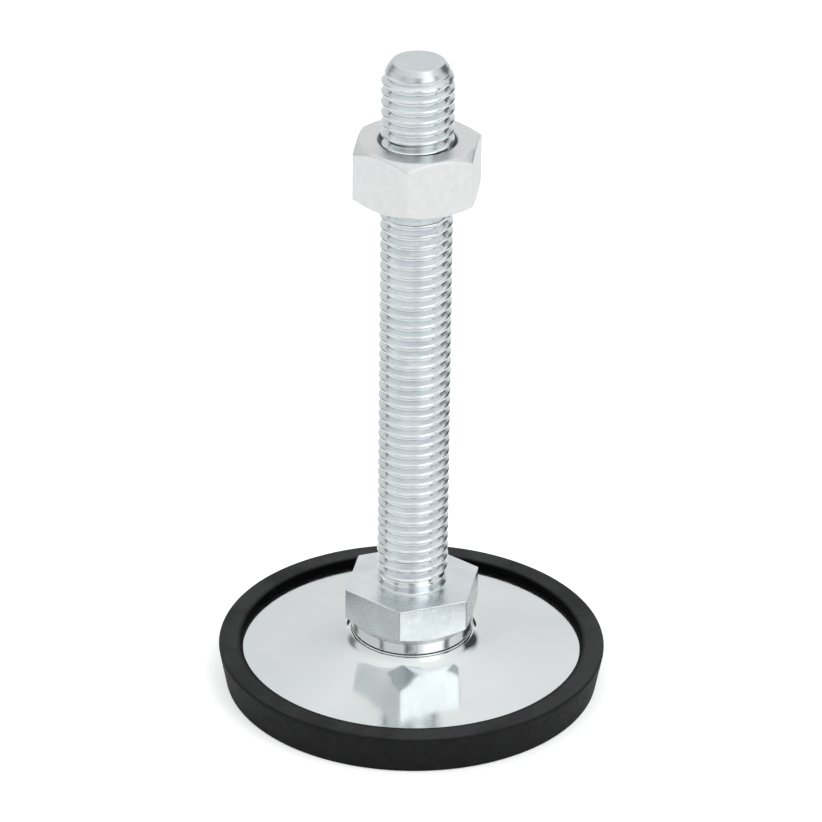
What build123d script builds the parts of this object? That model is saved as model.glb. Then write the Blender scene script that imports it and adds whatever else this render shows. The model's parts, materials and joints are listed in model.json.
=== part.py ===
from build123d import *
import math
import os

# Furniture leveling foot, modelled in millimetres, +Z up.
# The origin is on the floor, at the centre of the foot's underside.
# Names ending in _R are radii about Z, names ending in _Z are heights above the floor.

TOTAL_HEIGHT = 93.55        # floor to the flat end of the threaded stud
PIVOT_Z = 9.20              # centre of the ball under the hexagon
CUTTER_MARGIN = 0.5         # how far turned envelopes reach past a hexagon's corners

# --- spindle: M10 stud, hexagon, ball and spigot in one piece ------------------
THREAD_R = 4.925            # major radius of the rolled thread
THREAD_BODY_R = 4.70        # plain stand-in for the part of the thread the nut travels on
THREAD_START_Z = 16.9       # end of the smooth neck above the hexagon
FREE_END_Z = 82.60          # from here up the stud stands at its full major radius
TIP_FLAT_R = 3.50           # flat end of the stud
TIP_MID_R, TIP_MID_H = 4.28, 1.05   # the end chamfer turns steeper here, this far below the end
TIP_CHAMFER_H = 2.45
NECK_R = 4.60
HEX_AF = 17.0               # wrench size of the hexagon
HEX_TOP_Z = 15.37
HEX_BOTTOM_Z = 10.20
HEX_ANGLE = 20.6            # direction of one corner, degrees from +X
HEX_CHAMFER_SLOPE = 0.53    # rise over run of the turned chamfer under the corners
BALL_R = 8.55
BALL_FLAT_Z = 1.36          # the ball is cut flat here, where the spigot begins
SPIGOT_R = 3.00
SPIGOT_END_Z = 0.40
SPIGOT_CHAMFER_W, SPIGOT_CHAMFER_H = 0.12, 0.10
GROOVE_R = 2.60
GROOVE_Z0, GROOVE_Z1 = 0.51, 0.98

# --- lock nut, M10 ---------------------------------------------------------------
NUT_AF = 16.0               # wrench size of the nut
NUT_HEIGHT = 8.4
NUT_BOTTOM_Z = 73.90
NUT_ANGLE = 22.3            # direction of one corner, degrees from +X
NUT_BORE_R = THREAD_R + 0.055       # plain bore that clears the stud
NUT_SINK_R = 5.45           # countersink at both faces
NUT_SINK_SLOPE = 0.8        # depth of the countersink over its width
NUT_CHAMFER = 30.0          # degrees, turned chamfer on both faces
NUT_TOP_FACE_R = NUT_AF / 2 * 0.97      # flat of the top face, inside its chamfer
NUT_LOW_FACE_R = NUT_AF / 2 * 0.92      # flat of the lower face, inside its chamfer

# --- dished base plate with a collar round the ball ------------------------------
PLATE_R = 25.0
PLATE_TOP_Z = 4.69          # top of the flat rim that the rubber cap grips
PLATE_T = 1.50
PLATE_LOW_Z = PLATE_TOP_Z - PLATE_T
PLATE_CHAMFER = 0.25
PLATE_FLAT_R = 23.45        # the plate starts to rise inside this radius
# (radius, z) along the top of the dish, from the rim to the collar
DISH = [
    (21.0, 4.89), (18.0, 5.18), (16.0, 5.41), (14.4, 5.63), (12.6, 5.93),
    (11.3, 6.21), (10.4, 6.46), (9.7, 6.76), (9.2, 7.08),
]
COLLAR_R, COLLAR_Z = 8.68, 7.60     # outer edge of the collar's lip, level with the seat's top
HUB_R = 8.10                # flat underside of the hub
HUB_LOW_Z = 2.43
HUB_ROOT_R, HUB_ROOT_Z = 9.50, 4.90     # where the hub meets the underside of the dish
UNDER_MID_R, UNDER_MID_Z = 16.4, 3.85   # middle of the dish's underside
SEAT_CLEARANCE = 0.05       # radial gap between the ball and its spherical seat

# --- retaining washer and snap ring under the plate ------------------------------
WASHER_R = 6.20
WASHER_Z0, WASHER_Z1 = 1.40, 1.90
WASHER_BALL_R = 8.62        # the washer's hole is a zone of this sphere about the pivot
RING_R = 4.80
RING_HOLE_R = 2.65
RING_Z0, RING_Z1 = 0.53, 0.96
RING_GAP = 1.30             # opening of the snap ring
SLOT_MARGIN = 0.5           # the slot cutter overshoots the ring's width by this at each end
SLOT_CUTTER_H = 2.0

# --- rubber cap --------------------------------------------------------------------
CAP_TOP_R = 26.98           # outside radius of the tapered wall, extended to the top
CAP_FOOT_R = 25.92          # outside radius at the floor
CAP_TOP_Z = 5.70
CAP_RIM_ROUND = 0.40
CAP_FOOT_ROUND = 0.35
LIP_TOP_R = 23.80           # inside radius of the lip, at its top
LIP_ROOT_R = 23.50          # inside radius of the lip, where it meets the plate
LIP_CHAMFER = 0.15
CAP_OPENING_R = 8.60        # opening in the floor, around the snap ring
CAP_OPENING_CHAMFER = 0.3
TREAD_DEPTH = 0.70          # depth of the ring grooves in the tread
TREAD_GROOVE_W = 1.30       # width of a groove at the floor
TREAD_SIDE_RUN = 0.2        # how far each side of a groove leans in
TREAD_FIRST_R, TREAD_PITCH, TREAD_COUNT = 11.6, 2.6, 5


def turned(outline):
    """Solid of revolution about Z from a closed outline of (radius, z) points.

    Neighbouring points are joined by a line. A list between two points holds what
    the curve joining them passes through: one point for an arc, more for a spline.
    """
    edges = []
    start, through = outline[0], []
    for entry in outline[1:] + outline[:1]:
        if isinstance(entry, list):
            through = entry
            continue
        points = [(r, 0, z) for r, z in [start, *through, entry]]
        if len(points) == 2:
            edges.append(Edge.make_line(*points))
        elif len(points) == 3:
            edges.append(Edge.make_three_point_arc(*points))
        else:
            edges.append(Edge.make_spline(points))
        start, through = entry, []
    return revolve(Face(Wire(edges)), axis=Axis.Z, revolution_arc=360)


def sphere_r(radius, z):
    """Radius at height z of a sphere about the pivot."""
    return math.sqrt(radius ** 2 - (PIVOT_Z - z) ** 2)


def sphere_arc(radius, start_z, end_z):
    """Outline entries for an arc along a sphere about the pivot."""
    start, middle, end = (
        (sphere_r(radius, z), z) for z in (start_z, (start_z + end_z) / 2, end_z)
    )
    return [start, [middle], end]


def quarter_round(start, end, corner):
    """Outline entries for a quarter circle that rounds off a square corner."""
    size = abs(start[0] - end[0])
    inset = size * (1 - math.sqrt(0.5))
    middle = (
        corner[0] - inset,
        corner[1] + math.copysign(inset, start[1] + end[1] - 2 * corner[1]),
    )
    return [start, [middle], end]


def hex_corner_r(across_flats):
    return across_flats / 2 / math.cos(math.radians(30))


def hex_prism(across_flats, z0, z1, angle):
    """Hexagonal prism between two heights with a corner at the given angle."""
    corner_r = hex_corner_r(across_flats)
    directions = [math.radians(angle + 60 * i) for i in range(6)]
    corners = [(corner_r * math.cos(d), corner_r * math.sin(d), z0) for d in directions]
    return extrude(Face(Wire.make_polygon(corners, close=True)), amount=z1 - z0, dir=(0, 0, 1))


def make_spindle():
    # ball with the grooved spigot below it, up to the underside of the hexagon
    ball = turned([
        (0, SPIGOT_END_Z),
        (SPIGOT_R - SPIGOT_CHAMFER_W, SPIGOT_END_Z),
        (SPIGOT_R, SPIGOT_END_Z + SPIGOT_CHAMFER_H),
        (SPIGOT_R, GROOVE_Z0),
        (GROOVE_R, GROOVE_Z0),
        (GROOVE_R, GROOVE_Z1),
        (SPIGOT_R, GROOVE_Z1),
        (SPIGOT_R, BALL_FLAT_Z),
        *sphere_arc(BALL_R, BALL_FLAT_Z, HEX_BOTTOM_Z),
        (0, HEX_BOTTOM_Z),
    ])

    # hexagon, with its corners turned back underneath
    ball_top_r = sphere_r(BALL_R, HEX_BOTTOM_Z)
    envelope_r = hex_corner_r(HEX_AF) + CUTTER_MARGIN
    envelope = turned([
        (0, HEX_BOTTOM_Z),
        (ball_top_r, HEX_BOTTOM_Z),
        (envelope_r, HEX_BOTTOM_Z + (envelope_r - ball_top_r) * HEX_CHAMFER_SLOPE),
        (envelope_r, HEX_TOP_Z),
        (0, HEX_TOP_Z),
    ])
    hexagon = hex_prism(HEX_AF, HEX_BOTTOM_Z, HEX_TOP_Z, HEX_ANGLE) & envelope

    # stud, with its neck and chamfered end; the steps in radius are 45 degree cones
    stud = turned([
        (0, HEX_TOP_Z),
        (NECK_R, HEX_TOP_Z),
        (NECK_R, THREAD_START_Z - (THREAD_BODY_R - NECK_R)),
        (THREAD_BODY_R, THREAD_START_Z),
        (THREAD_BODY_R, FREE_END_Z - (THREAD_R - THREAD_BODY_R)),
        (THREAD_R, FREE_END_Z),
        (THREAD_R, TOTAL_HEIGHT - TIP_CHAMFER_H),
        (TIP_MID_R, TOTAL_HEIGHT - TIP_MID_H),
        (TIP_FLAT_R, TOTAL_HEIGHT),
        (0, TOTAL_HEIGHT),
    ])
    return ball + hexagon + stud


def make_lock_nut():
    top_z = NUT_BOTTOM_Z + NUT_HEIGHT
    envelope_r = hex_corner_r(NUT_AF) + CUTTER_MARGIN
    chamfer_slope = math.tan(math.radians(NUT_CHAMFER))
    sink_h = (NUT_SINK_R - NUT_BORE_R) * NUT_SINK_SLOPE
    envelope = turned([
        (NUT_SINK_R, NUT_BOTTOM_Z),
        (NUT_LOW_FACE_R, NUT_BOTTOM_Z),
        (envelope_r, NUT_BOTTOM_Z + (envelope_r - NUT_LOW_FACE_R) * chamfer_slope),
        (envelope_r, top_z - (envelope_r - NUT_TOP_FACE_R) * chamfer_slope),
        (NUT_TOP_FACE_R, top_z),
        (NUT_SINK_R, top_z),
        (NUT_BORE_R, top_z - sink_h),
        (NUT_BORE_R, NUT_BOTTOM_Z + sink_h),
    ])
    return hex_prism(NUT_AF, NUT_BOTTOM_Z, top_z, NUT_ANGLE) & envelope


def make_base_plate():
    """Dished disc that rises to a collar round the ball's spherical seat."""
    return turned([
        *sphere_arc(BALL_R + SEAT_CLEARANCE, COLLAR_Z, HUB_LOW_Z),
        (HUB_R, HUB_LOW_Z),
        (HUB_ROOT_R, HUB_ROOT_Z),
        [(UNDER_MID_R, UNDER_MID_Z)],
        (PLATE_FLAT_R, PLATE_LOW_Z),
        (PLATE_R - PLATE_CHAMFER, PLATE_LOW_Z),
        (PLATE_R, PLATE_LOW_Z + PLATE_CHAMFER),
        (PLATE_R, PLATE_TOP_Z - PLATE_CHAMFER),
        (PLATE_R - PLATE_CHAMFER, PLATE_TOP_Z),
        (PLATE_FLAT_R, PLATE_TOP_Z),
        DISH,
        (COLLAR_R, COLLAR_Z),
    ])


def make_retaining_washer():
    """Flat washer whose hole follows the ball."""
    return turned([
        *sphere_arc(WASHER_BALL_R, WASHER_Z1, WASHER_Z0),
        (WASHER_R, WASHER_Z0),
        (WASHER_R, WASHER_Z1),
    ])


def make_snap_ring():
    """Flat ring, open on the +X side."""
    ring = turned([
        (RING_HOLE_R, RING_Z0),
        (RING_R, RING_Z0),
        (RING_R, RING_Z1),
        (RING_HOLE_R, RING_Z1),
    ])
    slot = Pos((RING_HOLE_R + RING_R) / 2, 0, (RING_Z0 + RING_Z1) / 2) * Box(
        RING_R - RING_HOLE_R + 2 * SLOT_MARGIN, RING_GAP, SLOT_CUTTER_H
    )
    return ring - slot


def make_rubber_cap():
    """Cap that grips the plate's rim, with a grooved tread."""
    tread = []
    for i in range(TREAD_COUNT):
        inner_r = TREAD_FIRST_R + i * TREAD_PITCH - TREAD_GROOVE_W / 2
        outer_r = inner_r + TREAD_GROOVE_W
        tread += [
            (inner_r, 0.0),
            (inner_r + TREAD_SIDE_RUN, TREAD_DEPTH),
            (outer_r - TREAD_SIDE_RUN, TREAD_DEPTH),
            (outer_r, 0.0),
        ]
    wall_slope = (CAP_TOP_R - CAP_FOOT_R) / CAP_TOP_Z
    rim_r = CAP_TOP_R - wall_slope * CAP_RIM_ROUND      # widest, where the rim starts to round
    return turned([
        (CAP_OPENING_R + CAP_OPENING_CHAMFER, 0.0),
        *tread,
        *quarter_round(
            start=(CAP_FOOT_R - CAP_FOOT_ROUND, 0.0),
            end=(CAP_FOOT_R, CAP_FOOT_ROUND),
            corner=(CAP_FOOT_R, 0.0),
        ),
        *quarter_round(
            start=(rim_r, CAP_TOP_Z - CAP_RIM_ROUND),
            end=(rim_r - CAP_RIM_ROUND, CAP_TOP_Z),
            corner=(rim_r, CAP_TOP_Z),
        ),
        (LIP_TOP_R + LIP_CHAMFER, CAP_TOP_Z),
        (LIP_TOP_R, CAP_TOP_Z - LIP_CHAMFER),
        (LIP_ROOT_R, PLATE_TOP_Z),
        (PLATE_R, PLATE_TOP_Z),
        (PLATE_R, PLATE_LOW_Z),
        (CAP_OPENING_R, PLATE_LOW_Z),
        (CAP_OPENING_R, CAP_OPENING_CHAMFER),
    ])


# --- one STEP file per piece -------------------------------------------------------
pieces = {
    "rubber_cap": make_rubber_cap(),
    "base_plate": make_base_plate(),
    "retaining_washer": make_retaining_washer(),
    "snap_ring": make_snap_ring(),
    "spindle": make_spindle(),
    "lock_nut": make_lock_nut(),
}
os.makedirs("parts", exist_ok=True)
for name, shape in pieces.items():
    solids = shape.solids()
    body = solids[0] if len(solids) == 1 else Compound(children=list(solids))
    body.label = name
    export_step(body, f"parts/{name}.step")
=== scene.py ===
# Levelling foot: a spindle (threaded stud, hexagon and ball) with a lock nut, its ball held
# in a pressed round base plate by a washer and a snap ring, and a rubber cap under the plate.
# The stud's axis is Z, the cap stands on the floor near z = 0, and the front faces -Y.
import json
import math

import bmesh
import bpy
import numpy as np
from mathutils import Matrix, Vector, noise


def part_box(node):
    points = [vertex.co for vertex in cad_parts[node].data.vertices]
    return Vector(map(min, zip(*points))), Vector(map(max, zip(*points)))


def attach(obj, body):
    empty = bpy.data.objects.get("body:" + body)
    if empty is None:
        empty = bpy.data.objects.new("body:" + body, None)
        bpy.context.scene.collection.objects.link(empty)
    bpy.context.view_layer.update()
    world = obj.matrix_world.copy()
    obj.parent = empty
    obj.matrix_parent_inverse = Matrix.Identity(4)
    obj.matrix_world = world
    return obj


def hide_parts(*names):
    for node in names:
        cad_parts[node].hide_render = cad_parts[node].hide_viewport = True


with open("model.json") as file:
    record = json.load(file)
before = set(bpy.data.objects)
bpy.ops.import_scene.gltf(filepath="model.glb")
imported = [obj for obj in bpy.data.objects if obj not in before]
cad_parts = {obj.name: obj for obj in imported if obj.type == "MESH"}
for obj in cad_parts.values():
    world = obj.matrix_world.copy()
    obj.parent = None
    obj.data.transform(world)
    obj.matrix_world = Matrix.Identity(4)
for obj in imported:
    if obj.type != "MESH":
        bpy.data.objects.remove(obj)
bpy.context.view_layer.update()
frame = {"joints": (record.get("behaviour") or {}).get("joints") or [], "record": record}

# --- sizes: mm and degrees; R is a radius, Z a height ------------------------------------------
MM = 0.001          # one mm in metres


def extent(node):
    """Bottom, top and largest reach along X of a CAD piece."""
    lo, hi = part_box(node)
    return lo.z / MM, hi.z / MM, max(hi.x, -lo.x) / MM


CAP_Z0, CAP_Z1, CAP_R = extent("rubber_cap")
PLATE_Z0, PLATE_Z1, PLATE_R = extent("base_plate")
WASH_Z0, WASH_Z1, WASH_R = extent("retaining_washer")
RING_Z0, RING_Z1, _ = extent("snap_ring")
NUT_Z0, NUT_Z1, _ = extent("lock_nut")
SPIN_Z0, TOP_Z, _ = extent("spindle")
tilt = next(joint for joint in frame["joints"] if joint["name"] == "tilt_x")
PIVOT = tilt["pos_m"][2] / MM                       # height of the ball's centre
PITCH = abs(frame["record"]["behaviour"]["couplings"][0]["ratio"]) * 2 * math.pi / MM

# ball, and the hollows of the plate and washer round it
BALL_R, SEAT_R, WASH_BALL_R = 8.55, 8.60, 8.62
# spigot under the ball, grooved for the snap ring
BALL_FLAT_Z, SPIGOT_R = 1.36, 3.00
GROOVE_R, GROOVE_Z0, GROOVE_Z1 = 2.60, 0.51, 0.98
# spindle hexagon: its underside rises by HEX_SLOPE a mm outwards
HEX_FLATS, HEX_Z0, HEX_Z1, HEX_TURN, HEX_SLOPE = 17.0, 10.20, 15.37, 20.6, 0.53
HEX_CORNER_R, HEX_LOW_BEVEL, HEX_TOP_BEVEL = 0.22, 0.10, 0.11
# stud: neck, thread and chamfered tip (TIP_MID_H and TIP_H are depths below its top)
NECK_R, NECK_FILLET, NECK_TOP, RUN_OUT = 4.62, 0.30, HEX_Z1 + 0.85, 1.5
THREAD_R, THREAD_H = 4.925, 0.86
FLANK_X0, FLANK_X1, FLANK_BLEND = 0.10, 0.60, 0.16  # flank's ends along Z; share blended
TIP_R, TIP_MID_R, TIP_MID_H, TIP_H = 3.50, 4.28, 1.05, 2.45
TIP_SHARE, TIP_EDGE_H = 0.74, 0.10                  # widening by the first break; rounded edge
# lock nut
NUT_FLATS, NUT_TURN, NUT_CORNER_R, NUT_BEVEL = 16.0, 22.3, 0.25, 0.09
NUT_SINK_R, NUT_SINK_SLOPE, NUT_LIP = 5.45, 1.25, 0.04
NUT_FACE_R, NUT_LOW_R = 7.76, 7.36                  # flat faces, top and bottom
NUT_BORE_R, NUT_PLAY = 4.19, 0.055
# base plate; its upper side climbs through DISH, (r, z), to the collar round the ball
PLATE_TOP_Z, PLATE_LOW_Z, PLATE_FLAT_R = 4.69, 3.19, 23.45
HUB_LOW_Z, HUB_R, HUB_ROOT, UNDER_MID = 2.43, 8.10, (9.50, 4.90), (16.4, 3.85)
DISH = ((21.0, 4.89), (18.0, 5.18), (16.0, 5.41), (14.4, 5.63), (12.6, 5.93),
        (11.3, 6.21), (10.4, 6.46), (9.7, 6.76), (9.2, 7.08))
SEAT_TOP_Z = 7.60
COLLAR = (8.68, SEAT_TOP_Z)
# snap ring
RING_BORE_R, RING_R, RING_HALF_GAP, RING_ROUND, RING_STEPS = 2.65, 4.80, 0.65, 0.08, 120
# rubber cap, and the circular grooves in its underside
CAP_FOOT_R, LIP_TOP_R, LIP_ROOT_R, OPEN_R = 25.92, 23.80, 23.50, 8.60
TREAD_R, TREAD_W, TREAD_TAPER, TREAD_Z = (11.6, 14.2, 16.8, 19.4, 22.0), 1.30, 0.2, 0.70
CAP_SIDE = ((26.29, 2.0), (26.63, 3.8))             # (r, z) up the outside
LIP_BULGE, LIP_BULGE_Z, LIP_BULGE_H, CAP_LIMIT_R = 0.05, 0.2, 0.8, CAP_R + 0.05


# --- mesh helpers ------------------------------------------------------------------------------
def make_object(name, bm, sharp_angle=30):
    merge = 2e-7        # metres
    bmesh.ops.remove_doubles(bm, verts=bm.verts, dist=merge)
    bmesh.ops.dissolve_degenerate(bm, edges=bm.edges, dist=merge)
    loose = [v for v in bm.verts if not v.link_faces]
    bmesh.ops.delete(bm, geom=loose, context="VERTS")
    bmesh.ops.recalc_face_normals(bm, faces=bm.faces)
    mesh = bpy.data.meshes.new(name)
    bm.to_mesh(mesh)
    bm.free()
    mesh.polygons.foreach_set("use_smooth", [True] * len(mesh.polygons))
    mesh.set_sharp_from_angle(angle=math.radians(sharp_angle))
    return link_object(name, mesh)


def link_object(name, data):
    ob = bpy.data.objects.new(name, data)
    bpy.context.scene.collection.objects.link(ob)
    return ob


def add_grid(bm, points, shift=0, wrap=True):
    """Faces over (rows, columns, 3) points in mm. Columns wrap round, shift rows up at the seam."""
    rows, cols, _ = points.shape
    verts = [[bm.verts.new(points[j, i] * MM) for i in range(cols)] for j in range(rows)]
    for i in range(cols if wrap else cols - 1):
        after = (i + 1) % cols
        step = shift if after == 0 and wrap else 0
        for j in range(rows - 1):
            if j + 1 + step < rows:
                bm.faces.new((verts[j][i], verts[j + step][after],
                              verts[j + 1 + step][after], verts[j + 1][i]))
    return verts


def revolve(outline, angles):
    """Rows of points from (r, z) pairs; r and z are numbers or one value a column."""
    out = np.zeros((len(outline), len(angles), 3))
    for j, (r, z) in enumerate(outline):
        out[j, :, 0] = r * np.cos(angles)
        out[j, :, 1] = r * np.sin(angles)
        out[j, :, 2] = z
    return out


def close_with_fan(bm, ring, z):
    centre = bm.verts.new((0, 0, z * MM))
    for i, vert in enumerate(ring):
        bm.faces.new((centre, vert, ring[(i + 1) % len(ring)]))


def bridge(bm, *rings):
    edges = [bm.edges.get((ring[i], ring[(i + 1) % len(ring)]))
             for ring in rings for i in range(len(ring))]
    bmesh.ops.bridge_loops(bm, edges=edges)


def zip_rings(bm, outer, inner):
    """Triangles between two rings of different counts, matched by angle."""
    def angle(vert):
        return math.atan2(vert.co.y, vert.co.x)

    def following(ring, i):
        vert = ring[(i + 1) % len(ring)]
        return vert, angle(vert) + (2 * math.pi if i + 1 >= len(ring) else 0)

    outer, inner = sorted(outer, key=angle), sorted(inner, key=angle)
    i = j = 0
    while i < len(outer) or j < len(inner):
        a, b = outer[i % len(outer)], inner[j % len(inner)]
        next_a, angle_a = following(outer, i)
        next_b, angle_b = following(inner, j)
        if j >= len(inner) or (i < len(outer) and angle_a <= angle_b):
            bm.faces.new((a, b, next_a))
            i += 1
        else:
            bm.faces.new((a, b, next_b))
            j += 1


def smooth01(x):
    x = np.clip(x, 0, 1)
    return x * x * (3 - 2 * x)


def sphere_r(z, radius):
    """Radius at height z of a sphere about the pivot."""
    return math.sqrt(radius ** 2 - (PIVOT - z) ** 2)


# --- hexagons ----------------------------------------------------------------------------------
def hex_columns(turn):
    """Column angles that crowd at every rounded corner of a hexagon."""
    near = [0.0, 0.3, 0.6, 0.9, 1.05, 1.6]
    far = [4, 8, 12, 16, 20, 24, 28]
    offsets = sorted([-x for x in near if x] + near + [-x for x in far] + far + [30])
    return np.array([math.radians(turn + 60 * k + o) for k in range(6) for o in offsets])


def hex_radius(angles, flats, turn, corner_r):
    """Radius at each angle of a hexagon with rounded corners."""
    off = np.radians((np.degrees(angles) - turn + 30) % 60 - 30)
    flat = flats / 2 / np.cos(np.radians(30) - np.abs(off))
    centre = (flats / 2 - corner_r) / math.cos(math.radians(30))
    tangent = np.arctan2(corner_r * 0.5, centre + corner_r * math.cos(math.radians(30)))
    under_root = corner_r ** 2 - (centre * np.sin(off)) ** 2
    corner = centre * np.cos(off) + np.sqrt(np.maximum(under_root, 0))
    return np.where(np.abs(off) <= tangent, corner, flat)


# --- thread ------------------------------------------------------------------------------------
def crest_rows():
    """Row places within one pitch, in turns from the crest."""
    places = {0.5}
    for x in (0.0, 0.075, 0.14, 0.24, 0.42, 0.55, 0.64):
        places |= {round(turn % 1.0, 6) for turn in (x / PITCH, -x / PITCH)}
    return np.array(sorted(places))


ROWS_PER_TURN = crest_rows()
ROUND = np.linspace(0, 2 * math.pi, 96, endpoint=False)     # columns of threads and faces
CREST_Z = TOP_Z - 2.05          # a crest passes +X at this height


def thread_depth(turns):
    """How far the flank profile lies under the crest, at turns of pitch from it."""
    x = np.abs((np.asarray(turns) + 0.5) % 1.0 - 0.5) * PITCH

    def soft_ramp(u):
        k = FLANK_BLEND
        return np.where(u > k, u, np.where(u < -k, 0, (u + k) ** 2 / (4 * k)))

    down = soft_ramp((x - FLANK_X0) / (FLANK_X1 - FLANK_X0))
    return THREAD_H * (1 - soft_ramp(1 - down))


def add_helix(bm, z0, z1, radius):
    """A grid whose rows follow the thread from z0 to z1; radius(turns, z) shapes it."""
    snap = 0.02         # rows this near an end are drawn onto it
    first = math.floor((z0 - CREST_Z) / PITCH) - 2
    last = math.ceil((z1 - CREST_Z) / PITCH) + 2
    rows = np.array([turn + place for turn in range(first, last) for place in ROWS_PER_TURN])
    z = CREST_Z + (rows[:, None] + ROUND[None, :] / (2 * math.pi)) * PITCH
    z = np.clip(z, z0, z1)
    z = np.where(z < z0 + snap, z0, z)
    z = np.where(z > z1 - snap, z1, z)
    r = radius((z - CREST_Z) / PITCH - ROUND / (2 * math.pi), z)
    points = np.stack([r * np.cos(ROUND), r * np.sin(ROUND), z], -1)
    add_grid(bm, points, shift=len(ROWS_PER_TURN))


def stud_radius(turns, z):
    """External thread with its run-out above the neck and its chamfered end."""
    full = THREAD_R - thread_depth(turns)
    threaded = NECK_R + (full - NECK_R) * smooth01((z - NECK_TOP) / RUN_OUT)
    chamfer = np.interp(
        TOP_Z - z,
        [0.0, TIP_MID_H * 0.7, TIP_MID_H * 1.3, TIP_H, TIP_H + 1],
        [TIP_R, TIP_R + (TIP_MID_R - TIP_R) * TIP_SHARE, TIP_MID_R + 0.12,
         THREAD_R - 0.01, THREAD_R + 0.3])
    return np.minimum(threaded, chamfer)


def nut_hole_radius(turns, z):
    """Internal thread, opened by a countersink at each end."""
    inner = np.maximum(THREAD_R - thread_depth(turns) + NUT_PLAY, NUT_BORE_R)
    sink = NUT_SINK_R - np.minimum(NUT_Z1 - z, z - NUT_Z0) * NUT_SINK_SLOPE
    return np.maximum(inner, sink)


# --- spindle -----------------------------------------------------------------------------------
def spigot_and_ball():
    rows = [
        (SPIGOT_R - 0.12, SPIN_Z0), (SPIGOT_R - 0.03, SPIN_Z0 + 0.03),
        (SPIGOT_R, SPIN_Z0 + 0.10), (SPIGOT_R, GROOVE_Z0), (GROOVE_R, GROOVE_Z0),
        (GROOVE_R, GROOVE_Z1), (SPIGOT_R, GROOVE_Z1), (SPIGOT_R, BALL_FLAT_Z),
    ]
    start = math.asin((BALL_FLAT_Z - PIVOT) / BALL_R)
    end = math.asin((HEX_Z0 - PIVOT) / BALL_R)
    for a in np.linspace(start, end, 44):
        rows.append((BALL_R * math.cos(a), PIVOT + BALL_R * math.sin(a)))
    return rows


def spindle_hexagon(side):
    """Rows up the hexagon, whose side radius is given for each column."""
    ball_r = sphere_r(HEX_Z0, BALL_R)
    span = side - ball_r
    bevel = np.minimum(HEX_LOW_BEVEL, span * 0.5)
    edge_z = HEX_Z0 + span * HEX_SLOPE
    rows = [(ball_r + (span - bevel) * f, HEX_Z0 + (span - bevel) * f * HEX_SLOPE)
            for f in (0.35, 0.7)]
    rows += [
        (side - bevel, edge_z - bevel * HEX_SLOPE),
        (side - bevel * 0.55, edge_z - bevel * 0.10),
        (side - bevel * 0.15, edge_z + bevel * 0.35),
        (side, edge_z + bevel), (side, edge_z + bevel + 0.08),
    ]
    rows += [(side, edge_z + 0.2 + (HEX_Z1 - 0.3 - edge_z - 0.2) * f) for f in (0.25, 0.5, 0.75)]
    top = HEX_TOP_BEVEL
    rows += [
        (side, HEX_Z1 - top - 0.10), (side, HEX_Z1 - top),
        (side - top * 0.12, HEX_Z1 - top * 0.52), (side - top * 0.45, HEX_Z1 - top * 0.15),
        (side - top, HEX_Z1), (side - top - 0.10, HEX_Z1),
    ]
    return rows


def build_spindle():
    bm = bmesh.new()
    angles = hex_columns(HEX_TURN)
    side = hex_radius(angles, HEX_FLATS, HEX_TURN, HEX_CORNER_R)
    lower = add_grid(bm, revolve(spigot_and_ball() + spindle_hexagon(side), angles))
    close_with_fan(bm, lower[0], SPIN_Z0)

    fillet_r = NECK_R + NECK_FILLET
    rows = [(fillet_r + 0.6, HEX_Z1), (fillet_r, HEX_Z1)]
    for a in (22.5, 45, 67.5, 90):
        rows.append((fillet_r - NECK_FILLET * math.sin(math.radians(a)),
                     HEX_Z1 + NECK_FILLET - NECK_FILLET * math.cos(math.radians(a))))
    rows += [(NECK_R, (HEX_Z1 + NECK_FILLET + NECK_TOP) / 2), (NECK_R, NECK_TOP)]
    neck = add_grid(bm, revolve(rows, ROUND))
    add_helix(bm, NECK_TOP, TOP_Z - TIP_EDGE_H, stud_radius)

    edge_r = TIP_R + TIP_EDGE_H / (TIP_MID_H * 0.7) * (TIP_MID_R - TIP_R) * TIP_SHARE
    rows = [(edge_r, TOP_Z - TIP_EDGE_H), (TIP_R + 0.02, TOP_Z - 0.035),
            (TIP_R - 0.06, TOP_Z - 0.004), (TIP_R - 0.2, TOP_Z), (TIP_R * 0.6, TOP_Z),
            (TIP_R * 0.25, TOP_Z)]
    tip = add_grid(bm, revolve(rows, ROUND))
    close_with_fan(bm, tip[-1], TOP_Z)
    bridge(bm, lower[-1], neck[0])
    return make_object("spindle_visual", bm, 33)


# --- lock nut ----------------------------------------------------------------------------------
CHAMFER_SLOPE = math.tan(math.radians(30))


def nut_end(side, z, face_r, up):
    """Rows from the flat face's edge to the side; up is 1 at the top end, -1 at the bottom."""
    drop = (side - face_r) * CHAMFER_SLOPE
    bevel = NUT_BEVEL
    rows = [(face_r - 0.30, z), (face_r - 0.10, z), (face_r, z - up * 0.012),
            (face_r + 0.10, z - up * (0.10 * CHAMFER_SLOPE))]
    for f in (0.35, 0.7):
        out = (side - bevel - face_r - 0.10) * f
        rows.append((face_r + 0.10 + out, z - up * (0.10 + out) * CHAMFER_SLOPE))
    rows += [
        (side - bevel, z - up * (drop - bevel * CHAMFER_SLOPE)),
        (side - bevel * 0.45, z - up * (drop - bevel * 0.10)),
        (side - bevel * 0.1, z - up * (drop + bevel * 0.35)),
        (side, z - up * (drop + bevel)), (side, z - up * (drop + bevel + 0.08)),
    ]
    return rows


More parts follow.
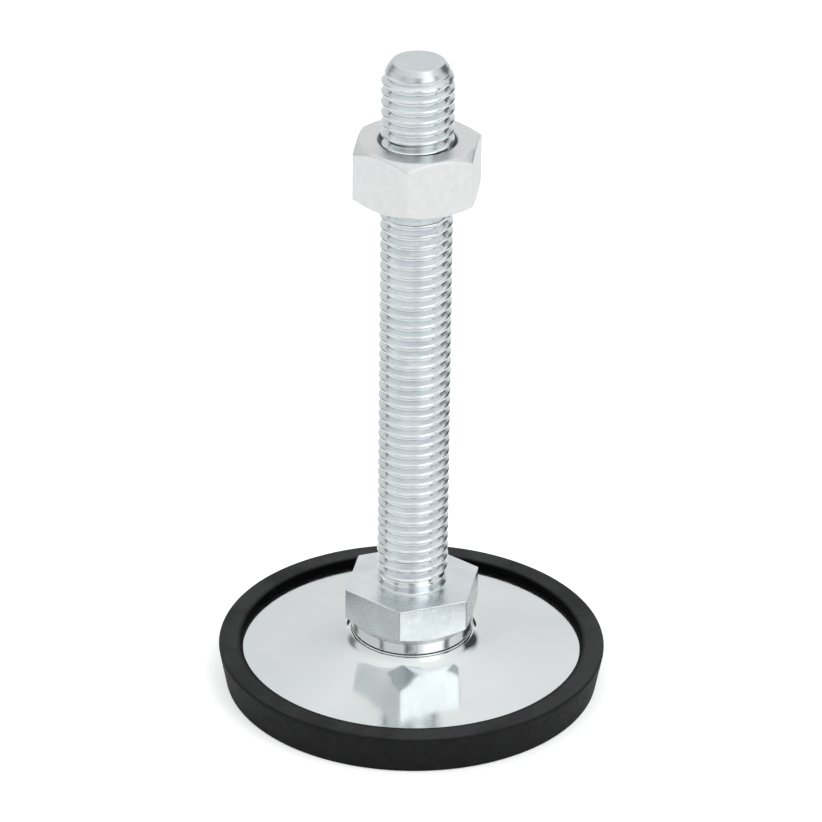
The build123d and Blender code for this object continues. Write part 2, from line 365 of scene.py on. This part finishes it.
def build_nut():
    bm = bmesh.new()
    angles = hex_columns(NUT_TURN)
    side = hex_radius(angles, NUT_FLATS, NUT_TURN, NUT_CORNER_R)
    high = NUT_Z1 - (side - NUT_FACE_R) * CHAMFER_SLOPE
    low = NUT_Z0 + (side - NUT_LOW_R) * CHAMFER_SLOPE
    middle = [(side, high * f + low * (1 - f)) for f in (0.75, 0.5, 0.25)]
    rows = nut_end(side, NUT_Z1, NUT_FACE_R, 1) + middle
    rows += nut_end(side, NUT_Z0, NUT_LOW_R, -1)[::-1]
    outer = add_grid(bm, revolve(rows, angles))
    add_helix(bm, NUT_Z0 + NUT_LIP, NUT_Z1 - NUT_LIP, nut_hole_radius)

    lip_r = NUT_SINK_R - NUT_LIP * NUT_SINK_SLOPE
    top_lip, low_lip = (
        add_grid(bm, revolve([(lip_r, z - up * NUT_LIP), (lip_r + 0.04, z - up * 0.01),
                              (lip_r + 0.10, z), (lip_r + 0.25, z)], ROUND))
        for z, up in ((NUT_Z1, 1), (NUT_Z0, -1)))
    bridge(bm, outer[0], top_lip[-1])
    zip_rings(bm, outer[-1], low_lip[-1])
    return make_object("lock_nut_visual", bm, 33)


# --- outlines of the turned pieces -------------------------------------------------------------
def sharp(points):
    """(r, z) points as unrounded corners."""
    return [(r, z, 0) for r, z in points]


def round_corners(corners, steps=5):
    """Closed (r, z) outline from corners given as (r, z, rounding radius)."""
    out = []
    points = [np.array(corner[:2], float) for corner in corners]
    for i, point in enumerate(points):
        radius = corners[i][2]
        back = points[i - 1] - point
        ahead = points[(i + 1) % len(points)] - point
        back_len, ahead_len = np.linalg.norm(back), np.linalg.norm(ahead)
        back, ahead = back / back_len, ahead / ahead_len
        angle = math.acos(np.clip(back @ ahead, -1, 1))
        if radius <= 0 or angle > math.radians(178):
            out.append(tuple(point))
            continue
        reach = min(radius / math.tan(angle / 2), back_len * 0.45, ahead_len * 0.45)
        radius = reach * math.tan(angle / 2)
        middle = back + ahead
        centre = point + middle / np.linalg.norm(middle) * radius / math.sin(angle / 2)
        start, end = point + back * reach, point + ahead * reach
        # one more point on each side holds the shading of the flats
        support = min(0.05, reach * 0.5, (back_len - reach) * 0.3, (ahead_len - reach) * 0.3)
        out.append(tuple(start + back * support))
        a0 = math.atan2(*(start - centre)[::-1])
        sweep = math.atan2(*(end - centre)[::-1]) - a0
        sweep = (sweep + math.pi) % (2 * math.pi) - math.pi
        for k in range(steps + 1):
            a = a0 + sweep * k / steps
            out.append((centre[0] + radius * math.cos(a), centre[1] + radius * math.sin(a)))
        out.append(tuple(end + ahead * support))
    return out


def arc_through(start, middle, end, count):
    """count points of the circle through three (r, z) points, the ends left out."""
    (ax, ay), (bx, by), (cx, cy) = start, middle, end
    d = 2 * (ax * (by - cy) + bx * (cy - ay) + cx * (ay - by))
    a2, b2, c2 = ax * ax + ay * ay, bx * bx + by * by, cx * cx + cy * cy
    x = (a2 * (by - cy) + b2 * (cy - ay) + c2 * (ay - by)) / d
    y = (a2 * (cx - bx) + b2 * (ax - cx) + c2 * (bx - ax)) / d
    radius = math.hypot(ax - x, ay - y)
    a0 = math.atan2(ay - y, ax - x)
    sweep = (math.atan2(cy - y, cx - x) - a0 + math.pi) % (2 * math.pi) - math.pi
    turns = [a0 + sweep * k / (count + 1) for k in range(1, count + 1)]
    return [(x + radius * math.cos(a), y + radius * math.sin(a)) for a in turns]


def smooth_curve(points, count):
    """A Catmull-Rom curve through (r, z) points, count steps a span, its two ends left out."""
    q = [np.array(p, float) for p in points]
    q = [2 * q[0] - q[1]] + q + [2 * q[-1] - q[-2]]
    out = []
    for i in range(1, len(q) - 2):
        for k in range(count):
            t = k / count
            p = 0.5 * ((2 * q[i]) + (q[i + 1] - q[i - 1]) * t
                       + (2 * q[i - 1] - 5 * q[i] + 4 * q[i + 1] - q[i + 2]) * t * t
                       + (-q[i - 1] + 3 * q[i] - 3 * q[i + 1] + q[i + 2]) * t ** 3)
            out.append(tuple(p))
    return out[1:]


def turned(name, outline, columns, sharp_angle=30, warp=None):
    angles = np.linspace(0, 2 * math.pi, columns, endpoint=False)
    points = revolve(outline + [outline[0]], angles)
    if warp is not None:
        points = warp(points, angles)
    bm = bmesh.new()
    add_grid(bm, points)
    return make_object(name, bm, sharp_angle)


# --- turned pieces -----------------------------------------------------------------------------
def build_plate():
    """Pressed plate with the ball's seat through its middle."""
    underside = arc_through(HUB_ROOT, UNDER_MID, (PLATE_FLAT_R, PLATE_LOW_Z), 10)
    top = smooth_curve(((PLATE_FLAT_R, PLATE_TOP_Z),) + DISH + (COLLAR,), 4)
    seat = [(sphere_r(z, SEAT_R), z)
            for z in np.linspace(SEAT_TOP_Z - 0.3, HUB_LOW_Z + 0.3, 14)]
    corners = [(sphere_r(HUB_LOW_Z, SEAT_R), HUB_LOW_Z, 0.08), (HUB_R, HUB_LOW_Z, 0.25),
               (*HUB_ROOT, 0.6)]
    corners += sharp(underside)
    corners += [(PLATE_FLAT_R, PLATE_LOW_Z, 0), (PLATE_R, PLATE_LOW_Z, 0.22),
                (PLATE_R, PLATE_TOP_Z, 0.22), (PLATE_FLAT_R, PLATE_TOP_Z, 0)]
    corners += sharp(top)
    corners += [(*COLLAR, 0.10), (sphere_r(SEAT_TOP_Z, SEAT_R), SEAT_TOP_Z, 0.08)]
    corners += sharp(seat)
    return turned("base_plate_visual", round_corners(corners), 192, 32)


def build_washer():
    """Washer under the plate; its hole follows the ball."""
    corners = [(sphere_r(WASH_Z0, WASH_BALL_R), WASH_Z0, 0.03), (WASH_R, WASH_Z0, 0.12),
               (WASH_R, WASH_Z1, 0.05), (sphere_r(WASH_Z1, WASH_BALL_R), WASH_Z1, 0.03)]
    corners += sharp((sphere_r(z, WASH_BALL_R), z)
                     for z in np.linspace(WASH_Z1 - 0.1, WASH_Z0 + 0.1, 4))
    return turned("retaining_washer_visual", round_corners(corners), 96)


def build_snap_ring():
    """Open ring whose gap, with parallel ends, faces +X."""
    outline = round_corners([(r, z, RING_ROUND) for r, z in (
        (RING_BORE_R, RING_Z0), (RING_R, RING_Z0), (RING_R, RING_Z1), (RING_BORE_R, RING_Z1))])
    rows = []
    for r, z in outline:
        half = math.asin(RING_HALF_GAP / r)
        angles = half + (2 * math.pi - 2 * half) * np.linspace(0, 1, RING_STEPS)
        rows.append(revolve([(r, z)], angles)[0])
    bm = bmesh.new()
    verts = add_grid(bm, np.array(rows + [rows[0]]), wrap=False)
    for end in (0, RING_STEPS - 1):
        bm.faces.new([row[end] for row in verts[:-1]])
    return make_object("snap_ring_visual", bm)


def rubber_warp(points, angles):
    """Moulded unevenness: the lip is pushed in and out a little, within the cap's limit."""
    out = points.copy()
    r = np.hypot(points[..., 0], points[..., 1])
    rise = smooth01((points[..., 2] - PLATE_TOP_Z - LIP_BULGE_Z) / LIP_BULGE_H)
    bulge = np.array([noise.noise(Vector((math.cos(a) * 2.2, math.sin(a) * 2.2, 3.1)))
                      for a in angles]) * LIP_BULGE
    out[..., :2] *= ((r + bulge * rise) / r)[..., None]
    limit = np.minimum(1.0, CAP_LIMIT_R / np.hypot(out[..., 0], out[..., 1]))
    out[..., :2] *= limit[..., None]
    return out


def build_cap():
    """Rubber cap with a grooved underside and a lip that closes over the plate's rim."""
    corners = [(OPEN_R + 0.3, CAP_Z0, 0.10)]
    for r in TREAD_R:
        inner, outer = r - TREAD_W / 2, r + TREAD_W / 2
        corners += [(inner, CAP_Z0, 0.12), (inner + TREAD_TAPER, TREAD_Z, 0.15),
                    (outer - TREAD_TAPER, TREAD_Z, 0.15), (outer, CAP_Z0, 0.12)]
    corners += [(CAP_FOOT_R, CAP_Z0, 0.35)] + sharp(CAP_SIDE)
    corners += [
        (CAP_R + 0.07, CAP_Z1, 0.40), (LIP_TOP_R - 0.06, CAP_Z1, 0.62),
        (LIP_ROOT_R + 0.08, PLATE_TOP_Z + 0.30, 0), (LIP_ROOT_R, PLATE_TOP_Z + 0.005, 0.04),
        (PLATE_R + 0.02, PLATE_TOP_Z + 0.005, 0.05), (PLATE_R + 0.02, PLATE_LOW_Z - 0.01, 0.05),
        (OPEN_R, PLATE_LOW_Z - 0.01, 0.10), (OPEN_R, 0.3, 0.05),
    ]
    return turned("rubber_cap_visual", round_corners(corners, 6), 192, 32, rubber_warp)


# --- shader helpers ----------------------------------------------------------------------------
class Graph:
    """Shader nodes of a material or world. Inputs are numbers, tuples or sockets."""

    def __init__(self, owner):
        owner.use_nodes = True
        self.tree = owner.node_tree
        self.tree.nodes.clear()
        self.vector = None      # what the textures are laid over

    def node(self, kind, inputs=None, **settings):
        made = self.tree.nodes.new("ShaderNode" + kind)
        for name, value in settings.items():
            setattr(made, name, value)
        for key, value in (inputs or {}).items():
            if isinstance(value, bpy.types.NodeSocket):
                self.tree.links.new(value, made.inputs[key])
            else:
                made.inputs[key].default_value = value
        return made

    def math(self, operation, *values):
        return self.node("Math", dict(enumerate(values)), operation=operation).outputs[0]

    def add(self, a, b):
        return self.math("ADD", a, b)

    def sub(self, a, b):
        return self.math("SUBTRACT", a, b)

    def mul(self, a, b):
        return self.math("MULTIPLY", a, b)

    def noise(self, scale, detail=3, rough=0.5, distortion=0):
        return self.node("TexNoise", {
            "Vector": self.vector, "Scale": scale, "Detail": detail, "Roughness": rough,
            "Distortion": distortion}).outputs["Fac"]

    def remap(self, value, span, to=(0, 1), smooth=True):
        """Carry value from the range span to the range to."""
        return self.node("MapRange", {
            "Value": value, "From Min": span[0], "From Max": span[1],
            "To Min": to[0], "To Max": to[1],
        }, interpolation_type="SMOOTHSTEP" if smooth else "LINEAR").outputs["Result"]

    def patches(self, to=(0, 1), smooth=True, **noise_settings):
        """Noise stretched over the range to."""
        return self.remap(self.noise(**noise_settings), (0.3, 0.7), to, smooth)

    def mix(self, factor, a, b):
        a, b = ((*v, 1) if isinstance(v, tuple) else v for v in (a, b))
        return self.node("Mix", {0: factor, 6: a, 7: b}, data_type="RGBA").outputs[2]

    def bump(self, height, strength, distance, normal=None):
        inputs = {"Height": height, "Strength": strength, "Distance": distance}
        if normal is not None:
            inputs["Normal"] = normal
        return self.node("Bump", inputs).outputs["Normal"]

    def split(self, vector):
        return self.node("SeparateXYZ", {0: vector}).outputs

    def radius_and_height(self):
        x, y, z = self.split(self.vector)
        return self.math("SQRT", self.add(self.mul(x, x), self.mul(y, y))), z

    def transform(self, vector, kind, source, target):
        return self.node("VectorTransform", {0: vector}, vector_type=kind,
                         convert_from=source, convert_to=target).outputs[0]

    def ramp(self, value, stops, interpolation="LINEAR"):
        """Value curve through (position, value) stops."""
        made = self.node("ValToRGB", {"Fac": value})
        made.color_ramp.interpolation = interpolation
        elements = made.color_ramp.elements
        for element, (position, level) in zip(elements, (stops[0], stops[-1])):
            element.position, element.color = position, (level, level, level, 1)
        for position, level in stops[1:-1]:
            elements.new(position).color = (level, level, level, 1)
        return self.node("RGBToBW", {"Color": made.outputs["Color"]}).outputs["Val"]

    def surface(self, colour, roughness, normal, metallic=1.0, specular=0.5):
        made = self.node("BsdfPrincipled", {
            "Base Color": colour, "Roughness": roughness, "Normal": normal,
            "Metallic": metallic, "Specular IOR Level": specular})
        self.node("OutputMaterial", {"Surface": made.outputs["BSDF"]})


def start_material(name):
    """A material and its graph, with textures laid over object coordinates in mm."""
    mat = bpy.data.materials.new(name)
    graph = Graph(mat)
    coords = graph.node("TexCoord").outputs["Object"]
    mapping = graph.node("Mapping", {"Vector": coords, "Scale": (1000, 1000, 1000)})
    graph.vector = mapping.outputs["Vector"]
    return mat, graph


# --- materials ---------------------------------------------------------------------------------
def zinc(graph, tones, rough, rough_var, bump, wave=0.0, tint_scale=0.25):
    """Colour, roughness and normal of zinc plate: slow tone changes and a fine grain."""
    tone = graph.patches(scale=tint_scale, rough=0.55, distortion=0.4)
    colour = graph.mix(tone, *tones)
    grain = graph.noise(scale=6.0, detail=4, rough=0.6)
    roughness = graph.patches(scale=0.9, rough=0.6, smooth=False,
                              to=(rough - rough_var, rough + rough_var))
    normal = graph.bump(grain, strength=bump, distance=0.00002)
    if wave:
        swell = graph.noise(scale=0.16, detail=2)
        normal = graph.bump(swell, strength=wave, distance=0.0004, normal=normal)
    return colour, roughness, normal


def zinc_finish(name, **settings):
    mat, graph = start_material(name)
    graph.surface(*zinc(graph, **settings))
    return mat


def hexagon_draft(graph, z, normal):
    """Tilt the shading of the forged hexagon's sides by a slight draft."""
    draft_slope = math.tan(math.radians(5.0))
    facing = graph.node("NewGeometry").outputs["Normal"]
    facing = graph.split(graph.transform(facing, "NORMAL", "WORLD", "OBJECT"))
    upright = graph.remap(graph.math("ABSOLUTE", facing[2]), span=(0.10, 0.30), to=(1, 0))
    in_hex = graph.mul(graph.math("GREATER_THAN", z, HEX_Z0 + 0.3),
                       graph.math("LESS_THAN", z, HEX_Z1 + 0.05))
    draft = graph.mul(graph.mul(upright, in_hex), draft_slope)
    down = graph.transform((0, 0, -1), "VECTOR", "OBJECT", "WORLD")
    lean = graph.node("VectorMath", {0: down, "Scale": draft}, operation="SCALE").outputs[0]
    total = graph.node("VectorMath", {0: normal, 1: lean}, operation="ADD").outputs[0]
    return graph.node("VectorMath", {0: total}, operation="NORMALIZE").outputs[0]


def spindle_finish():
    mat, graph = start_material("zinc_spindle_finish")
    mean_rough = 0.24
    colour, uneven, normal = zinc(graph, tones=((0.72, 0.76, 0.78), (0.82, 0.85, 0.86)),
                                  rough=mean_rough, rough_var=0.04, bump=0.03)
    r, z = graph.radius_and_height()
    # painted highlight on the thread crests, painted shade in the thread roots, and a paler
    # polished ball
    on_stud = graph.math("GREATER_THAN", z, HEX_Z1 + 0.9)
    crest = graph.mul(on_stud, graph.remap(r, span=(4.62, 4.90)))
    root_painted_shade = graph.mul(on_stud, graph.remap(r, span=(4.10, 4.45), to=(1, 0)))
    # painted highlight: the crests are painted paler
    colour = graph.mix(graph.mul(crest, 0.7), colour, (0.90, 0.92, 0.93))
    # painted shade: the thread roots are painted darker, as the grooves lie in shade
    colour = graph.mix(graph.mul(root_painted_shade, 0.25), colour, (0.58, 0.62, 0.64))
    on_ball = graph.math("LESS_THAN", z, HEX_Z0 + 0.02)
    colour = graph.mix(graph.mul(on_ball, 0.8), colour, (0.88, 0.90, 0.91))
    # the ball is polished, the forged hexagon duller, the rolled thread in between
    upper = graph.remap(z, span=(HEX_Z1, HEX_Z1 + 0.5), to=(0.27, 0.15), smooth=False)
    turned_end = graph.remap(z, span=(TOP_Z - TIP_H, TOP_Z - TIP_H + 0.5), to=(0, 0.13))
    upper = graph.add(upper, turned_end)
    # scale is left on the ball under the hexagon
    ball = graph.remap(z, span=(PIVOT + 0.15, PIVOT + 0.85), to=(0.06, 0.34))
    roughness = graph.mix(on_ball, upper, ball)
    roughness = graph.add(roughness, graph.sub(uneven, mean_rough))
    roughness = graph.math("MAXIMUM", roughness, 0.05)
    graph.surface(colour, roughness, hexagon_draft(graph, z, normal))
    return mat


def nut_finish():
    mat, graph = start_material("zinc_nut_finish")
    colour, roughness, normal = zinc(
        graph, tones=((0.76, 0.765, 0.77), (0.81, 0.815, 0.815)),
        rough=0.34, rough_var=0.05, bump=0.16, tint_scale=1.1)
    r, _ = graph.radius_and_height()
    # painted shade: the thread and its countersink are painted darker, as the hole lies in shadow
    hole_painted_shade = graph.remap(r, span=(5.20, 5.46), to=(0.95, 0))
    graph.surface(graph.mix(hole_painted_shade, colour, (0.12, 0.125, 0.13)), roughness, normal)
    return mat


def spring_steel_finish():
    mat, graph = start_material("spring_steel_finish")
    tone = graph.patches(scale=1.3, detail=4, rough=0.6)
    colour = graph.mix(tone, (0.10, 0.10, 0.11), (0.20, 0.20, 0.21))
    roughness = graph.patches(scale=3.0, rough=0.6, to=(0.32, 0.5), smooth=False)
    normal = graph.bump(graph.noise(scale=9.0, rough=0.6), strength=0.2, distance=0.00002)
    graph.surface(colour, roughness, normal)
    return mat


def rubber_finish():
    mat, graph = start_material("black_rubber_finish")
    r, z = graph.radius_and_height()
    slow = graph.patches(scale=0.35, detail=4, rough=0.6)
    colour = graph.mix(slow, (0.0040, 0.0040, 0.0042), (0.0075, 0.0075, 0.0078))
    # painted light: the rim's flat top is painted paler in uneven patches, as lit from above
    rim_top_painted_light = graph.remap(z, span=(CAP_Z1 - 0.16, CAP_Z1 - 0.03))
    rim_light_patches = graph.remap(graph.noise(scale=0.12, detail=2), span=(0.35, 0.65), to=(0.3, 1.0))
    # painted light on the rim's top
    colour = graph.mix(graph.mul(rim_top_painted_light, rim_light_patches), colour, (0.030, 0.030, 0.031))
    # painted shade: the lip's inner wall, over the plate, is painted near black
    inner_wall_painted_shade = graph.mul(
        graph.remap(r, span=(LIP_TOP_R + 0.15, LIP_TOP_R + 0.75), to=(1, 0)),
        graph.remap(z, span=(CAP_Z1 - 0.10, CAP_Z1 + 0.10), to=(1, 0.3)))
    above = graph.remap(z, span=(PLATE_LOW_Z, PLATE_TOP_Z - 0.1), to=(0, 0.75))
    colour = graph.mix(graph.mul(inner_wall_painted_shade, above), colour, (0.001, 0.001, 0.001))
    # scattered pale specks
    cells = graph.node("TexVoronoi", {"Vector": graph.vector, "Scale": 0.8, "Randomness": 1.0})
    speck = graph.remap(cells.outputs["Distance"], span=(0.02, 0.09), to=(1, 0))
    picked = graph.math("GREATER_THAN", graph.noise(scale=0.8, detail=2), 0.53)
    speck = graph.mul(speck, picked)
    colour = graph.mix(graph.mul(speck, 0.35), colour, (0.09, 0.085, 0.08))
    roughness = graph.patches(scale=1.6, detail=4, rough=0.6, to=(0.50, 0.66), smooth=False)
    # the painted shade on the lip's inner wall also takes away most of its specular
    specular = graph.mul(graph.sub(1.0, graph.mul(inner_wall_painted_shade, 0.9)), 0.18)
    height = graph.add(graph.noise(scale=5.0, detail=5, rough=0.65),
                       graph.mul(graph.noise(scale=0.9), 1.5))
    normal = graph.bump(height, strength=0.25, distance=0.00005)
    graph.surface(colour, roughness, normal, metallic=0.0, specular=specular)
    return mat


# --- floor -------------------------------------------------------------------------------------
def build_floor():
    """White sheet just under z = 0."""
    half, z = 3.0, -2e-5        # metres
    mesh = bpy.data.meshes.new("floor")
    corners = [(-half, -half, z), (half, -half, z), (half, half, z), (-half, half, z)]
    mesh.from_pydata(corners, [], [(0, 1, 2, 3)])
    link_object("floor", mesh)
    mesh.materials.append(floor_paper())


def floor_paper():
    """Matt white, lifted for the camera, and clear when the camera is below the floor."""
    mat = bpy.data.materials.new("floor_paper")
    graph = Graph(mat)
    camera_place = graph.transform((0, 0, 0), "POINT", "CAMERA", "WORLD")
    below = graph.math("LESS_THAN", graph.split(camera_place)[2], 0.0)
    seen = graph.node("LightPath").outputs["Is Camera Ray"]
    lift = graph.node("Emission", {"Strength": graph.mul(seen, 0.36)})
    matt = graph.node("BsdfDiffuse", {"Color": (0.93, 0.93, 0.93, 1)})
    paper = graph.node("AddShader", {0: matt.outputs[0], 1: lift.outputs[0]})
    clear = graph.node("BsdfTransparent")
    mixed = graph.node("MixShader", {0: below, 1: paper.outputs[0], 2: clear.outputs[0]})
    graph.node("OutputMaterial", {"Surface": mixed.outputs[0]})
    return mat


# --- world: a light tent -----------------------------------------------------------------------
# half the brightness by height, from straight down (0) to straight up (1)
TENT = ((0.0, 0.36), (0.47, 0.41), (0.50, 0.42), (0.66, 0.40), (0.74, 0.40), (0.82, 0.44),
        (0.95, 0.50), (1.0, 0.52))
# half the walls' gain by direction, degrees from the front, right positive
WALL = ((-180, 0.50), (-134, 0.48), (-112, 0.47), (-66, 0.48), (-40, 0.48), (-17, 0.49),
        (0, 0.52), (17, 0.58), (28, 0.86), (54, 0.86), (66, 0.54), (106, 0.45), (140, 0.47),
        (180, 0.50))
# gain by direction of the camera's opening and the dark seams between the walls
SEAMS = ((-180, 1.0), (-138, 0.95), (-128, 0.30), (-119, 0.30), (-112, 0.97), (-62, 1.0),
         (-57, 0.30), (-53, 0.30), (-48, 1.0), (-14, 1.0), (-8, 0.25), (8, 0.25), (14, 1.0),
         (59, 1.0), (65, 0.10), (71, 0.10), (77, 1.0), (106, 1.0), (112, 0.07), (138, 0.07),
         (147, 1.0), (180, 1.0))


def build_world(scene):
    world = bpy.data.worlds.new("studio")
    scene.world = world
    graph = Graph(world)
    graph.vector = graph.node("TexCoord").outputs["Generated"]
    x, y, z = graph.split(graph.vector)
    height = graph.remap(z, span=(-1, 1), smooth=False)
    up_down = graph.ramp(height, TENT, "B_SPLINE")
    direction = graph.math("ARCTAN2", x, graph.mul(y, -1.0))

    def by_direction(table):
        turn = graph.remap(direction, span=(-math.pi, math.pi), smooth=False)
        return graph.ramp(turn, [((deg + 180) / 360, value) for deg, value in table])

    # the walls' gain fades out overhead
    around = by_direction(WALL)
    low = graph.remap(z, span=(0.70, 0.96), to=(1, 0))
    gain = graph.add(graph.mul(graph.sub(graph.mul(around, 2.0), 1.0), low), 1.0)
    seams = by_direction(SEAMS)
    # the front seams are broken up, as creased cloth is
    crease = graph.remap(graph.noise(scale=11.0, rough=0.6, distortion=0.3),
                         span=(0.36, 0.52), to=(0.25, 1.0))
    behind = graph.remap(graph.math("ABSOLUTE", direction),
                         span=(math.radians(80), math.radians(100)))
    crease = graph.math("MAXIMUM", crease, behind)
    seams = graph.sub(1.0, graph.mul(graph.sub(1.0, seams), crease))
    level = graph.remap(z, span=(0.46, 0.72), to=(1, 0))
    gain = graph.mul(gain, graph.add(graph.mul(graph.sub(seams, 1.0), level), 1.0))
    strength = graph.mul(graph.mul(up_down, 2.0), gain)
    # the right is a little brighter than the left
    strength = graph.mul(strength, graph.remap(x, span=(-0.9, 0.9), to=(0.95, 1.05)))

    tent = graph.node("Background", {"Color": (0.985, 1.0, 1.0, 1), "Strength": strength})
    backdrop = graph.node("Background", {"Color": (1, 1, 1, 1), "Strength": 1.0})
    seen = graph.node("LightPath").outputs["Is Camera Ray"]
    mixed = graph.node("MixShader", {0: seen, 1: tent.outputs[0], 2: backdrop.outputs[0]})
    graph.node("OutputWorld", {"Surface": mixed.outputs[0]})


# --- lights and camera -------------------------------------------------------------------------
def area_light(name, place, size, power):
    """Square light aimed at the origin and hidden from reflections; metres and watts."""
    light = bpy.data.lights.new(name, "AREA")
    light.shape = "RECTANGLE"
    light.size = light.size_y = size
    light.energy = power
    ob = link_object(name, light)
    ob.location = place
    ob.rotation_mode = "QUATERNION"
    ob.rotation_quaternion = (Vector((0, 0, 0)) - Vector(place)).to_track_quat("-Z", "Y")
    ob.visible_glossy = False


def build_camera(scene):
    """Long lens from the front, looking down."""
    data = bpy.data.cameras.new("camera")
    data.sensor_width = 36.0
    data.lens = 208.672
    data.clip_start, data.clip_end = 0.01, 20.0
    camera = link_object("camera", data)
    right = (0.9998628253, 0.0127014130, 0.0106303637)
    up = (-0.0153291572, 0.4665670060, 0.8843530097)
    back = (0.0062727558, -0.8843946534, 0.4666977068)
    pose = Matrix((right, up, back)).transposed().to_4x4()
    pose.translation = Vector((3.63218725, -574.09769643, 344.5436307)) * MM
    camera.matrix_world = pose
    scene.camera = camera


# --- build -------------------------------------------------------------------------------------
spindle = build_spindle()
nut = build_nut()
plate = build_plate()
washer = build_washer()
snap_ring = build_snap_ring()
cap = build_cap()

spindle_mat = spindle_finish()
nut_mat = nut_finish()
plate_mat = zinc_finish("zinc_plate_finish", tones=((0.78, 0.81, 0.81), (0.84, 0.86, 0.86)),
                        rough=0.11, rough_var=0.03, bump=0.03, wave=0.015, tint_scale=0.06)
washer_mat = zinc_finish("zinc_washer_finish", tones=((0.62, 0.65, 0.67), (0.74, 0.76, 0.77)),
                         rough=0.34, rough_var=0.08, bump=0.15)
ring_mat = spring_steel_finish()
rubber_mat = rubber_finish()

# object, material, body it rides, CAD piece it replaces, slot
for ob, mat, body, node, slot in (
    (spindle, spindle_mat, "spindle_body", "spindle", "zinc_spindle"),
    (nut, nut_mat, "nut_body", "lock_nut", "zinc_nut"),
    (plate, plate_mat, "foot", "base_plate", "zinc_plate"),
    (cap, rubber_mat, "foot", "rubber_cap", "black_rubber"),
    (washer, washer_mat, "washer_link", "retaining_washer", "zinc_small_parts"),
    (snap_ring, ring_mat, "ring_link", "snap_ring", "spring_steel"),
):
    ob.data.materials.append(mat)
    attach(ob, body)
    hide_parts(node)

build_floor()
scene = bpy.context.scene
build_world(scene)
area_light("key", place=(0.55, -0.45, 0.75), size=0.6, power=1.8)
area_light("fill", place=(-0.60, -0.35, 0.65), size=0.7, power=0.8)
build_camera(scene)

scene.view_settings.view_transform = "Standard"
scene.view_settings.look = "None"
scene.view_settings.exposure = 0.0
scene.view_settings.gamma = 1.0
